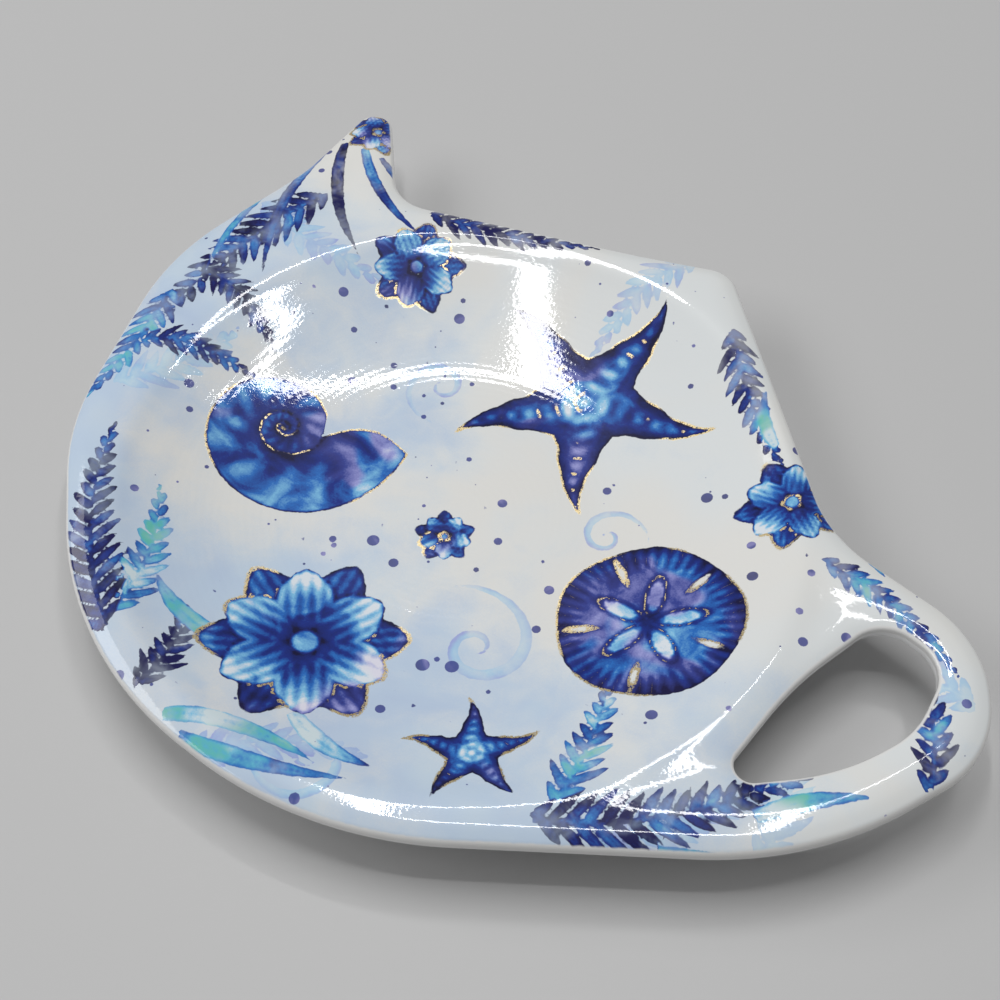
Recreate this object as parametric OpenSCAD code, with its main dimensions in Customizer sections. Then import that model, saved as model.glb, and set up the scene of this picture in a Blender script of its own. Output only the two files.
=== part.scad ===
// Tea bag rest: a shallow teapot-shaped dish with a round well, a short pouring spout,
// a lid knob and a flat handle with a finger hole. A moulded body carries a printed foil
// and a clear gloss layer, which follow its top from the well over the crowned rim.
// The dish stands on a foot ring at height zero, with the handle towards +X and the knob towards +Y.

/* [Outline] */
// Length from the spout side to the end of the handle
dish_l = 160; // [152:1:176]
// Width from the belly to the top of the lid knob
dish_w = 125; // [122:1:136]
// Height from the table to the top of the rim
dish_h = 14; // [13:0.5:18]

/* [Well] */
// Diameter of the round well at its upper edge
well_d = 114; // [100:1:116]
// Depth of the well below the rim
well_depth = 9; // [6:0.5:9.5]
// Diameter of the flat floor of the well
floor_d = 44; // [30:1:60]
// Radius of the turned-over edge of the well
well_edge_r = 9; // [6:0.5:11]

/* [Rim] */
// Wall thickness of the flange and the bowl, with both layers
wall_t = 3.2; // [2.8:0.1:3.6]
// Width of the rounded crown along the outline
crown_w = 6; // [4:0.5:7]
// Fall of the crown from the flange to the outline
crown_drop = 1.4; // [1:0.1:1.8]

/* [Finger hole] */
// Width of the rounded crown round the finger hole
hole_crown_w = 5; // [3:0.5:6]
// Fall of that crown to the edge of the hole
hole_crown_drop = 0.9; // [0.6:0.1:1.4]

/* [Foot ring] */
// Outer diameter of the foot ring
foot_d = 74; // [60:1:84]
// Width of the standing face of the foot ring
foot_w = 2.4; // [1.5:0.1:4]
// Draft by which each side of the ring widens towards the dish
foot_draft = 0.8; // [0.4:0.1:1.2]

/* [Print and gloss] */
// Thickness of the printed foil
foil_t = 0.3; // [0.2:0.05:0.5]
// Thickness of the clear gloss layer
coat_t = 0.3; // [0.2:0.05:0.5]

/* [Hidden] */
$fn = 120;
white = "#f4f3ee";
print_blue = "#7d9fd8";
clear_gloss = [0.93, 0.96, 1, 0.35];
// Corners of the outline, anticlockwise: across as a share of the length, up and the radius as shares of the width
outline_shares = [
    [-0.489, 0.502, 0.028], // spout tip
    [-0.478, 0.285, 0.320], // front of the spout, hollow
    [-0.508, 0.040, 0.370], // breast under the spout
    [-0.419, -0.263, 0.350], // belly, left
    [-0.221, -0.500, 0.480], // belly, lower left
    [0.075, -0.500, 0.530], // belly, lower right
    [0.437, -0.174, 0.460], // heel of the handle
    [0.5145, 0.059, 0.140], // end of the handle
    [0.450, 0.190, 0.146], // shoulder of the handle
    [0.276, 0.205, 0.180], // root of the handle, hollow
    [0.006, 0.508, 0.046], // lid knob
    [-0.088, 0.456, 0.100], // foot of the knob, hollow
    [-0.360, 0.323, 0.070] // back of the spout, hollow
];
// Corners of the finger hole, in the same shares
hole_shares = [
    [0.329, -0.171, 0.021], // lower point
    [0.413, -0.068, 0.290], // outer side
    [0.446, 0.030, 0.125], // outer bend
    [0.435, 0.130, 0.052], // upper right
    [0.362, 0.139, 0.050], // upper left
    [0.3325, 0.001, 0.450] // inner side
];
// Centre of the well, as shares of the length and the width
well_place_share = [-0.056, -0.024];
// Angle at which a rounded surface leaves a flat one, and at which two rounded ones meet
lap_angle = 2;
// How much further than the meeting of two surfaces each of their cuts runs, as a share
lap_share = 1.3;
overrun = wall_t / 4;
well_r = well_d / 2;
floor_r = floor_d / 2;
well_place = [well_place_share[0] * dish_l, well_place_share[1] * dish_w];
flange_z = dish_h - wall_t;
floor_z = dish_h - well_depth;
print_t = coat_t + foil_t;

// Corners with real places and radii, from shares of the length and the width
function corners(shares) = [for (s = shares) [s[0] * dish_l, s[1] * dish_w, s[2] * dish_w]];
function place(c, k) = let (p = c[(k + len(c)) % len(c)]) [p[0], p[1]];
function unit(v) = v / norm(v);
function leg(c, k, step) = place(c, k + step) - place(c, k);
function half_angle(c, k) = acos(unit(leg(c, k, -1)) * unit(leg(c, k, 1))) / 2;
function reach(c, k) = c[(k + len(c)) % len(c)][2] / tan(half_angle(c, k));
// A corner's radius is eased where two neighbours would need more than the side between them
function ease(c, k) = min(
    1,
    norm(leg(c, k, -1)) / (reach(c, k - 1) + reach(c, k)),
    norm(leg(c, k, 1)) / (reach(c, k) + reach(c, k + 1))
);
// Each bend is [start, end, centre, radius, way, corner, angle turned]. Its way is 1 where the dish
// lies inside the bend and -1 where it lies outside. side is 1 on the outline and -1 round the hole
function bend(c, k, side) = let (
    corner = place(c, k),
    half = half_angle(c, k),
    radius = c[k][2] * ease(c, k),
    to_start = unit(leg(c, k, -1)),
    to_end = unit(leg(c, k, 1)),
    tangent = radius / tan(half)
) [
    corner + to_start * tangent,
    corner + to_end * tangent,
    corner + unit(to_start + to_end) * radius / sin(half),
    radius,
    (cross(to_end, to_start) > 0 ? 1 : -1) * side,
    corner,
    180 - 2 * half
];
function bends(c, side) = [for (k = [0:len(c) - 1]) bend(c, k, side)];
// A point of a bend after the dish has grown by a distance
function grown(b, p, grow) = b[2] + (p - b[2]) * (b[3] + b[4] * grow) / b[3];
function lap(b) = b[3] * tan(lap_angle) * lap_share;
outline_bends = bends(corners(outline_shares), 1);
hole_bends = bends(corners(hole_shares), -1);

// Radius of a crown that falls by drop over width and leaves the flange at the lap angle
function crown_radius(width, drop) =
    (pow(width, 2) + pow(drop, 2)) / (2 * (drop * cos(lap_angle) - width * sin(lap_angle)));
// The turned-over edge of the well is an arc about edge_centre, and the bowl below it an arc about bowl_centre
edge_centre = [well_r + well_edge_r * sin(lap_angle), -well_edge_r * cos(lap_angle)];
bowl_run = edge_centre[0] - floor_r;
bowl_rise = edge_centre[1] + well_depth;
bowl_r = (pow(bowl_run, 2) + pow(bowl_rise, 2) - pow(well_edge_r, 2))
    / (2 * (well_edge_r * cos(lap_angle) + bowl_rise * cos(lap_angle) - bowl_run * sin(lap_angle)));
bowl_centre = [floor_r - bowl_r * sin(lap_angle), bowl_r * cos(lap_angle) - well_depth];
meeting = bowl_centre + unit(edge_centre - bowl_centre) * bowl_r;
outer_r = bowl_r + wall_t;

// Plan of the straight sides: a corner stays sharp where the bend's cut rounds it, and is bevelled elsewhere
module sides(list, grow) {
    polygon([for (b = list) each b[4] > 0 ? [grown(b, b[5], grow)] : [grown(b, b[0], grow), grown(b, b[1], grow)]]);
}

// Section of what is cut away above a crown: the edge is at x = 0, the flange at y = 0 and to the left
module crown_section(width, drop, inner, outer) {
    radius = crown_radius(width, drop);
    deep = drop + outer;
    difference() {
        polygon([[inner, -deep], [outer, -deep], [outer, overrun], [inner, overrun]]);
        translate([-width - radius * sin(lap_angle), -radius * cos(lap_angle)]) circle(r = radius);
    }
}

// Cuts a bend upright and rounds its crown
module bend_cut(b, width, drop, grow) {
    way = b[4];
    from = (cross(b[0] - b[2], b[1] - b[2]) > 0 ? b[0] : b[1]) - b[2];
    spare = way > 0 ? 0 : lap_angle * lap_share;
    edge_r = b[3] / cos(lap_angle);
    wall_r = edge_r + way * grow;
    far_r = way > 0
        ? norm(grown(b, b[5], grow) - b[2]) + overrun
        : max(0, norm(grown(b, (b[0] + b[1]) / 2, grow) - b[2]) - overrun);
    translate(b[2])
        rotate([0, 0, atan2(from[1], from[0]) - spare])
            rotate_extrude(angle = b[6] + 2 * spare) {
                translate([edge_r, 0])
                    mirror([way > 0 ? 0 : 1, 0])
                        crown_section(width, drop, way > 0 ? max(-width - overrun, -edge_r) : -width - overrun, grow + overrun);
                polygon([[wall_r, -dish_h], [far_r, -dish_h], [far_r, overrun], [wall_r, overrun]]);
            }
}

// Rounds the crown along the straight run from one bend to the next
module run_cut(b, next, width, drop, side, grow) {
    run = next[0] - b[1];
    before = b[4] > 0 ? lap(b) : 0;
    after = next[4] > 0 ? lap(next) : 0;
    translate(next[0])
        rotate([90, 0, atan2(run[1], run[0]) - 90])
            translate([0, 0, -after])
                linear_extrude(norm(run) + before + after)
                    mirror([side > 0 ? 0 : 1, 0])
                        crown_section(width, drop, -width - overrun, grow + overrun);
}

module edge_cuts(list, width, drop, side, grow) {
    for (k = [0:len(list) - 1]) {
        bend_cut(list[k], width, drop, grow);
        run_cut(list[k], list[(k + 1) % len(list)], width, drop, side, grow);
    }
}

// Section of the hollow of the well, right of its axis, with the flange at y = 0
module well_section() {
    difference() {
        union() {
            polygon([[0, -well_depth], [bowl_centre[0], -well_depth], [bowl_centre[0], overrun], [0, overrun]]);
            intersection() {
                translate(bowl_centre) circle(r = bowl_r);
                polygon([
                    [bowl_centre[0], -well_depth], [meeting[0], -well_depth],
                    [meeting[0], overrun], [bowl_centre[0], overrun]
                ]);
            }
            polygon([
                [meeting[0], meeting[1] - overrun], [well_r, meeting[1] - overrun],
                [well_r, overrun], [meeting[0], overrun]
            ]);
        }
        translate(edge_centre) circle(r = well_edge_r);
    }
}

// Everything outside the dish and above its top, where the top lies lower than the finished one by sink
module cut_away(sink, grow) {
    translate([0, 0, dish_h - sink]) {
        edge_cuts(outline_bends, crown_w, crown_drop, 1, grow);
        edge_cuts(hole_bends, hole_crown_w, hole_crown_drop, -1, grow);
        translate([0, 0, -dish_h]) linear_extrude(dish_h + overrun) sides(hole_bends, grow);
        translate(well_place) rotate_extrude() well_section();
    }
}

// Solid under the top surface, down to below the floor of the well
module under_top(sink, grow) {
    low_z = floor_z - wall_t / 2 - grow;
    difference() {
        translate([0, 0, low_z]) linear_extrude(dish_h - sink - low_z) sides(outline_bends, grow);
        cut_away(sink, grow);
    }
}

// Section of the bowl under the flange, right of its axis
module bowl_section() {
    top = overrun / 2 - wall_t;
    low = -well_depth - wall_t;
    wide = bowl_centre[0] + sqrt(pow(outer_r, 2) - pow(bowl_centre[1] - top, 2));
    polygon([[0, low], [bowl_centre[0], low], [bowl_centre[0], top], [0, top]]);
    intersection() {
        translate(bowl_centre) circle(r = outer_r);
        polygon([[bowl_centre[0], low], [wide, low], [wide, top], [bowl_centre[0], top]]);
    }
}

// Section of the tapered ring on which the dish stands, sunk into the underside of the bowl
module foot_section() {
    foot_r = foot_d / 2;
    bowl_low = dish_h + bowl_centre[1] - sqrt(pow(outer_r, 2) - pow(foot_r + foot_draft - bowl_centre[0], 2));
    top = bowl_low + overrun;
    polygon([[foot_r - foot_w, 0], [foot_r, 0], [foot_r + foot_draft, top], [foot_r - foot_w - foot_draft, top]]);
}

module dish_body() {
    color(white)
        difference() {
            intersection() {
                linear_extrude(dish_h) sides(outline_bends, 0);
                union() {
                    translate([-dish_l, -dish_w, flange_z]) cube([dish_l * 2, dish_w * 2, wall_t - print_t]);
                    translate([0, 0, dish_h]) translate(well_place) rotate_extrude() bowl_section();
                    translate(well_place) rotate_extrude() foot_section();
                }
            }
            cut_away(print_t, 0);
        }
}

module print_foil() {
    color(print_blue)
        difference() {
            under_top(coat_t, 0);
            under_top(print_t, overrun);
        }
}

module gloss_coat() {
    color(clear_gloss)
        difference() {
            under_top(0, 0);
            under_top(coat_t, overrun);
        }
}

dish_body();
print_foil();
gloss_coat();
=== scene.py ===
"""Looks of a teapot-shaped tea bag rest: a white moulded dish with a printed, glossy top.

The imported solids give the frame. The printed top, the moulded body and the foot ring are modelled
again here with the same sizes, with rounded edges and a finer mesh.
"""

import logging
import math
from collections.abc import Callable
from dataclasses import KW_ONLY, dataclass, field
from enum import Enum
from functools import cached_property

import bmesh
import bpy
import numpy as np
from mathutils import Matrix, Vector
from mathutils.geometry import delaunay_2d_cdt


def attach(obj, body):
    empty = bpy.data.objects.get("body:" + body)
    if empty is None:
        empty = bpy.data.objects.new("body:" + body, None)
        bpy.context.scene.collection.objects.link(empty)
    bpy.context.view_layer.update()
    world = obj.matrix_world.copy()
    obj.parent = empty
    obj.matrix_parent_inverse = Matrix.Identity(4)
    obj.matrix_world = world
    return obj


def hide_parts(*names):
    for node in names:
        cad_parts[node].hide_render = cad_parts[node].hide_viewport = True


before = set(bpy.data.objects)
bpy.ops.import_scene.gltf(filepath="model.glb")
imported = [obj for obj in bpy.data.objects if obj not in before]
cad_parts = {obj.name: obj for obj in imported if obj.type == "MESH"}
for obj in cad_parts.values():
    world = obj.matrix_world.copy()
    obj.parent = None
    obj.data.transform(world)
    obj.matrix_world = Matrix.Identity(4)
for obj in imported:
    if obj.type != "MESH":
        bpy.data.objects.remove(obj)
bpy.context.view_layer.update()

LOG = logging.getLogger("tea_bag_rest")
MM = 0.001
TINY = 1e-9
LEAST_REACH = 1e-4

Heights = Callable[[np.ndarray], np.ndarray]
Socket = bpy.types.NodeSocket
Value = Socket | float
Colour = Socket | tuple

# Corners of the plan, anticlockwise: across as a share of the length, up and the radius as
# shares of the width.
OUTLINE_SHARES = (
    (-0.489, 0.502, 0.028),
    (-0.478, 0.285, 0.320),
    (-0.508, 0.040, 0.370),
    (-0.419, -0.263, 0.350),
    (-0.221, -0.500, 0.480),
    (0.075, -0.500, 0.530),
    (0.437, -0.174, 0.460),
    (0.5145, 0.059, 0.140),
    (0.450, 0.190, 0.146),
    (0.276, 0.205, 0.180),
    (0.006, 0.508, 0.046),
    (-0.088, 0.456, 0.100),
    (-0.360, 0.323, 0.070),
)
FINGER_HOLE_SHARES = (
    (0.329, -0.171, 0.021),
    (0.413, -0.068, 0.290),
    (0.446, 0.030, 0.125),
    (0.435, 0.130, 0.052),
    (0.362, 0.139, 0.050),
    (0.3325, 0.001, 0.450),
)


def smooth(share: np.ndarray) -> np.ndarray:
    """Rises from 0 to 1 with a level start and end, as share does."""
    share = np.clip(share, 0, 1)
    return share * share * (3 - 2 * share)


def near(off: np.ndarray, reach: float) -> np.ndarray:
    """Is 1 on a line and falls smoothly to 0 at reach from it, for distances off the line."""
    return smooth(1 - np.abs(off) / reach)


def sector(angle: np.ndarray, count: int) -> np.ndarray:
    """Angles from the middle of the nearest of count equal sectors, of which one lies at 0."""
    pitch = math.tau / count
    return (angle / pitch + 0.5) % 1 * pitch - pitch / 2


def into_scene(name: str, data: bpy.types.ID) -> bpy.types.Object:
    """Makes an object and links it to the scene.

    Args:
        name: Name of the object.
        data: The mesh, camera or lamp that it holds.

    Returns:
        The object.
    """
    thing = bpy.data.objects.new(name, data)
    bpy.context.scene.collection.objects.link(thing)
    return thing


def as_piece(name: str, bm: bmesh.types.BMesh) -> bpy.types.Object:
    """Makes an object with smooth faces from a finished bmesh, and frees the bmesh.

    The faces are sorted by their points, because extrude and spin make them in an order that
    differs from run to run.

    Args:
        name: Name of the object and of its mesh.
        bm: The finished mesh.

    Returns:
        The object.
    """
    bm.verts.index_update()
    ordered = sorted(bm.faces, key=lambda face: sorted(vert.index for vert in face.verts))
    for place, face in enumerate(ordered):
        face.index = place
        face.smooth = True
    bm.faces.sort()
    mesh = bpy.data.meshes.new(name)
    bm.to_mesh(mesh)
    bm.free()
    return into_scene(name, mesh)


class Side(Enum):
    """Which side of a closed line the dish lies on."""

    WITHIN = 1
    AROUND = -1


class Face(Enum):
    """Which of its two big faces a sheet of mesh is."""

    UPPER = "upper"
    LOWER = "lower"


@dataclass(frozen=True)
class Bend:
    """One rounded corner of a plan line.

    way is 1 where the dish lies inside the bend and -1 where it lies outside.
    """

    start: np.ndarray
    end: np.ndarray
    centre: np.ndarray
    radius: float
    way: int
    turn: float


@dataclass
class PlanLine:
    """A closed line of straight runs and bends, in metres, seen from above.

    closest is the share of a step under which two stations count as one, and fewest the least
    number of steps round a bend.
    """

    shares: tuple
    side: Side
    length: float
    width: float
    step: float = 0.42 * MM
    closest: float = 0.2
    fewest: int = 4
    slack: float = 1e-4
    bends: list[Bend] = field(init=False)

    def __post_init__(self) -> None:
        """Works out the bends."""
        self.bends = [self._bend(k) for k in range(len(self.shares))]

    def _corner(self, k: int) -> np.ndarray:
        """Place of corner k, counted round the line."""
        x, y, _ = self.shares[k % len(self.shares)]
        return np.array([x * self.length, y * self.width])

    def _sides(self, k: int) -> tuple:
        """The sides from corner k back to the last corner and ahead to the next one."""
        here = self._corner(k)
        return self._corner(k - 1) - here, self._corner(k + 1) - here

    def _radius(self, k: int) -> float:
        """Radius that the bend at corner k asks for."""
        return self.shares[k % len(self.shares)][2] * self.width

    def _half_angle(self, k: int) -> float:
        """Half the angle between the two sides that meet at corner k."""
        back, ahead = self._sides(k)
        return math.acos(back @ ahead / np.linalg.norm(back) / np.linalg.norm(ahead)) / 2

    def _reach(self, k: int) -> float:
        """Length of side that the bend at corner k asks for."""
        return self._radius(k) / math.tan(self._half_angle(k))

    def _ease(self, k: int) -> float:
        """Share of its radius that the bend at corner k can keep beside its neighbours."""
        asked = [self._reach(k) + self._reach(k - 1), self._reach(k) + self._reach(k + 1)]
        return min(1.0, *(np.linalg.norm(side) / both for side, both in zip(self._sides(k), asked)))

    def _bend(self, k: int) -> Bend:
        """The bend at one corner.

        Args:
            k: Number of the corner.

        Returns:
            The bend, with its radius eased where its neighbours are close.
        """
        here = self._corner(k)
        half = self._half_angle(k)
        radius = self._radius(k) * self._ease(k)
        reach = radius / math.tan(half)
        back, ahead = (side / np.linalg.norm(side) for side in self._sides(k))
        middle = back + ahead
        middle /= np.linalg.norm(middle)
        left_turn = ahead[0] * back[1] - ahead[1] * back[0] > 0
        return Bend(
            start=here + back * reach,
            end=here + ahead * reach,
            centre=here + middle * radius / math.sin(half),
            radius=radius,
            way=(1 if left_turn else -1) * self.side.value,
            turn=math.pi - 2 * half,
        )

    def _round(self) -> list:
        """Pairs of each bend and the one that follows it."""
        return list(zip(self.bends, self.bends[1:] + self.bends[:1]))

    def stations(self) -> tuple:
        """Even points round the line.

        Returns:
            Points and unit directions into the dish, as two arrays of pairs.
        """
        points, inward = [], []
        for bend, following in self._round():
            count = max(self.fewest, round(bend.radius * bend.turn / self.step))
            first = math.atan2(*(bend.start - bend.centre)[::-1])
            turn = bend.turn * bend.way * self.side.value
            for i in range(count + 1):
                angle = first + turn * i / count
                ray = np.array([math.cos(angle), math.sin(angle)])
                points.append(bend.centre + ray * bend.radius)
                inward.append(-ray * bend.way)
            run = following.start - bend.end
            count = max(1, round(np.linalg.norm(run) / self.step))
            for i in range(1, count):
                points.append(bend.end + run * (i / count))
                inward.append(inward[-1])
        points, inward = np.array(points), np.array(inward)
        gap = np.linalg.norm(points - np.roll(points, 1, axis=0), axis=1)
        kept = gap > self.closest * self.step
        return points[kept], inward[kept]

    def _off_bend(self, bend: Bend, points: np.ndarray) -> tuple:
        """How far points lie from one bend.

        Args:
            bend: The bend.
            points: Array of pairs.

        Returns:
            Distances, endless beyond the bend's ends, and distances with the sign of the side.
        """
        ray = points - bend.centre
        first = bend.start - bend.centre
        angle = math.atan2(first[1], first[0])
        turn = bend.way * self.side.value
        along = (np.arctan2(ray[:, 1], ray[:, 0]) - angle) * turn + self.slack
        on_bend = along % math.tau <= bend.turn + 2 * self.slack
        signed = (bend.radius - np.linalg.norm(ray, axis=1)) * bend.way
        return np.where(on_bend, np.abs(signed), np.inf), signed

    def _off_run(self, start: np.ndarray, end: np.ndarray, points: np.ndarray) -> tuple:
        """How far points lie from one straight run.

        Args:
            start: Where the run starts.
            end: Where it ends.
            points: Array of pairs.

        Returns:
            Distances, endless beyond the run's ends, and distances with the sign of the side.
        """
        length = max(np.linalg.norm(end - start), TINY)
        run = (end - start) / length
        offset = points - start
        share = offset @ run
        signed = (offset[:, 1] * run[0] - offset[:, 0] * run[1]) * self.side.value
        on_run = (share >= -self.slack * length) & (share <= (1 + self.slack) * length)
        return np.where(on_run & (length > TINY), np.abs(signed), np.inf), signed

    def depth(self, points: np.ndarray) -> np.ndarray:
        """How far points lie inside the dish from this line.

        Args:
            points: Array of pairs.

        Returns:
            Distances to the line, above zero inside the dish.
        """
        best = np.full(len(points), np.inf)
        signed = np.zeros(len(points))
        for bend, following in self._round():
            off_run = self._off_run(bend.end, following.start, points)
            for gap, value in (self._off_bend(bend, points), off_run):
                nearer = gap < best
                best = np.where(nearer, gap, best)
                signed = np.where(nearer, value, signed)
        return signed


@dataclass(frozen=True)
class DishSizes:
    """Sizes of the dish, in metres and radians.

    Those up to lap are the part's own. The others are small roundings and the slight fall and
    swell of the flange, which only the looks have.
    """

    length: float = 160 * MM
    width: float = 125 * MM
    height: float = 14 * MM
    well_radius: float = 57 * MM
    well_depth: float = 9 * MM
    well_edge_radius: float = 9 * MM
    floor_radius: float = 22 * MM
    wall: float = 3.2 * MM
    crown_width: float = 6 * MM
    crown_drop: float = 1.4 * MM
    hole_crown_width: float = 5 * MM
    hole_crown_drop: float = 0.9 * MM
    foot_radius: float = 37 * MM
    foot_width: float = 2.4 * MM
    foot_draft: float = 0.8 * MM
    print_depth: float = 0.6 * MM
    well_x_share: float = -0.056
    well_y_share: float = -0.024
    lap: float = math.radians(2)
    top_edge_radius: float = 0.75 * MM
    low_edge_radius: float = 0.5 * MM
    hole_top_edge_radius: float = 0.4 * MM
    hole_low_edge_radius: float = 0.3 * MM
    flange_dip: float = 0.5 * MM
    dip_start: float = 4.4 * MM
    dip_end: float = 12.5 * MM
    well_lip: float = 0.42 * MM
    well_lip_width: float = 2.8 * MM

    @property
    def half_plan(self) -> np.ndarray:
        """Half the length and half the width."""
        return np.array([self.length, self.width]) / 2

    @property
    def well_centre(self) -> np.ndarray:
        """Middle of the well, seen from above."""
        return np.array([self.well_x_share * self.length, self.well_y_share * self.width])


@dataclass
class DishSurface:
    """Heights of the dish's upper and lower face over any point of its plan.

    cell is the spacing of the height grids and blur how far their creases are rounded. Nearer to
    an edge than firm the heights stay unblurred, and over the next fade they turn into the
    blurred ones. regained is the share of the flat flange's loss to blend that is given back.
    """

    sizes: DishSizes
    outline: PlanLine
    hole: PlanLine
    cell: float = 0.25 * MM
    blur: float = 1.0 * MM
    blend: float = 0.6 * MM
    margin: float = 4 * MM
    firm: float = 1.5 * MM
    fade: float = 3 * MM
    regained: float = 0.8
    low: np.ndarray = field(init=False)
    soft_upper: np.ndarray = field(init=False)
    soft_lower: np.ndarray = field(init=False)

    def __post_init__(self) -> None:
        """Works out the height grids."""
        half = self.sizes.half_plan + self.margin
        self.low = -half
        counts = np.ceil(2 * half / self.cell).astype(int) + 1
        xs, ys = (low + np.arange(count) * self.cell for low, count in zip(self.low, counts))
        gx, gy = np.meshgrid(xs, ys, indexing="ij")
        flat = np.c_[gx.ravel(), gy.ravel()]
        self.soft_upper = self._blurred(self.sharp_upper(flat).reshape(gx.shape))
        self.soft_lower = self._blurred(self.sharp_lower(flat).reshape(gx.shape))

    def _blurred(self, grid: np.ndarray) -> np.ndarray:
        """Rounds the creases of a grid of heights.

        Args:
            grid: The heights.

        Returns:
            The rounded heights.
        """
        reach = int(round(3 * self.blur / self.cell))
        steps = np.arange(-reach, reach + 1)
        weights = np.exp(-0.5 * (steps * self.cell / self.blur) ** 2)
        weights /= weights.sum()
        padded = np.pad(grid, reach, mode="edge")
        rows = sum(w * padded[k : k + grid.shape[0], :] for k, w in enumerate(weights))
        return sum(w * rows[:, k : k + grid.shape[1]] for k, w in enumerate(weights))

    def _soft_min(self, a: np.ndarray, b: np.ndarray) -> np.ndarray:
        """The lower of two heights, with a rounded change from one to the other."""
        closeness = np.maximum(self.blend - np.abs(a - b), 0) / self.blend
        return np.minimum(a, b) - closeness**2 * self.blend / 4

    def crown(self, depth: np.ndarray, width: float, drop: float) -> np.ndarray:
        """Height of a rounded crown under the flange.

        Args:
            depth: Distances from the edge into the dish.
            width: Width of the crown.
            drop: Fall of the crown at the edge.

        Returns:
            Heights, zero on the flange and below zero on the crown.
        """
        lap = self.sizes.lap
        radius = (width**2 + drop**2) / (2 * (drop * math.cos(lap) - width * math.sin(lap)))
        across = np.clip(width - depth, 0, None) + radius * math.sin(lap)
        curve = np.sqrt(np.maximum(radius**2 - across**2, 0)) - radius * math.cos(lap)
        return np.where(depth < width, curve, 0.0)

    def _bowl(self) -> tuple:
        """Works out the section of the bowl under the well's turned edge.

        Returns:
            Centre and radius of the bowl's arc, and centre of the turned edge's arc.
        """
        s = self.sizes
        sine, cosine = math.sin(s.lap), math.cos(s.lap)
        edge = np.array([s.well_radius + s.well_edge_radius * sine, -s.well_edge_radius * cosine])
        run = edge[0] - s.floor_radius
        rise = edge[1] + s.well_depth
        radius = (run**2 + rise**2 - s.well_edge_radius**2) / (
            2 * (s.well_edge_radius * cosine + rise * cosine - run * sine)
        )
        centre = np.array([s.floor_radius - radius * sine, radius * cosine - s.well_depth])
        return centre, radius, edge

    def _bowl_height(self, reach: np.ndarray, grow: float) -> np.ndarray:
        """Height under the flange of the bowl's arc.

        Args:
            reach: Distances from the middle of the well.
            grow: How far the arc is moved outwards, 0 for the inner face.

        Returns:
            Heights, no lower than the bowl's floor.
        """
        centre, radius, _ = self._bowl()
        across = np.maximum(reach - centre[0], 0)
        arc = centre[1] - np.sqrt(np.maximum((radius + grow) ** 2 - across**2, 0))
        return np.maximum(arc, -self.sizes.well_depth - grow)

    def well(self, reach: np.ndarray) -> np.ndarray:
        """Height of the well under the flange.

        Args:
            reach: Distances from the middle of the well.

        Returns:
            Heights, zero outside the well.
        """
        s = self.sizes
        centre, radius, edge = self._bowl()
        towards = edge - centre
        meeting = centre + towards / np.linalg.norm(towards) * radius
        turned = edge[1] + np.sqrt(np.maximum(s.well_edge_radius**2 - (reach - edge[0]) ** 2, 0))
        height = np.where(reach < meeting[0], self._bowl_height(reach, 0.0), turned)
        return np.where(reach > s.well_radius, 0.0, height)

    def _settling(self, depth: np.ndarray, reach: np.ndarray) -> np.ndarray:
        """Slight fall of the flange from its rim towards the well, and swell at the well's edge.

        Args:
            depth: Distances from the outline.
            reach: Distances from the middle of the well.

        Returns:
            Changes of height, which fade out inside the well.
        """
        s = self.sizes
        share = smooth((depth - s.dip_start) / (s.dip_end - s.dip_start))
        lip = s.well_lip * np.exp(-(((reach - s.well_radius) / s.well_lip_width) ** 2))
        return (lip - s.flange_dip) * share * smooth((reach - s.well_radius) / s.well_edge_radius + 1)

    def _flange_loss(self) -> float:
        """How far the two rounded changes lower the flat flange."""
        once = self.blend / 4
        return once + ((self.blend - once) / self.blend) ** 2 * self.blend / 4

    def sharp_upper(self, points: np.ndarray) -> np.ndarray:
        """Heights of the upper face, before its creases are blurred.

        Args:
            points: Array of pairs.

        Returns:
            Heights over the flange.
        """
        s = self.sizes
        depth = self.outline.depth(points)
        rim = self.crown(depth, s.crown_width, s.crown_drop)
        ring = self.crown(self.hole.depth(points), s.hole_crown_width, s.hole_crown_drop)
        reach = np.linalg.norm(points - s.well_centre, axis=1)
        lowest = self._soft_min(self._soft_min(rim, ring), self.well(reach))
        return lowest + self._flange_loss() * self.regained + self._settling(depth, reach)

    def sharp_lower(self, points: np.ndarray) -> np.ndarray:
        """Heights of the lower face over the flange's top, before its creases are blurred."""
        reach = np.linalg.norm(points - self.sizes.well_centre, axis=1)
        return np.minimum(self._bowl_height(reach, self.sizes.wall), -self.sizes.wall)

    def _sample(self, grid: np.ndarray, points: np.ndarray) -> np.ndarray:
        """Reads a height grid between its cells.

        Args:
            grid: The heights.
            points: Array of pairs.

        Returns:
            Heights at the points.
        """
        place = (points - self.low) / self.cell
        cell = np.clip(np.floor(place).astype(int), 0, np.array(grid.shape) - 2)
        tx, ty = (place - cell).T
        i, j = cell.T
        return (
            grid[i, j] * (1 - tx) * (1 - ty)
            + grid[i + 1, j] * tx * (1 - ty)
            + grid[i, j + 1] * (1 - tx) * ty
            + grid[i + 1, j + 1] * tx * ty
        )

    def depth(self, points: np.ndarray) -> np.ndarray:
        """Distances of points from the nearest edge of the dish."""
        return np.minimum(self.outline.depth(points), self.hole.depth(points))

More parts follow.
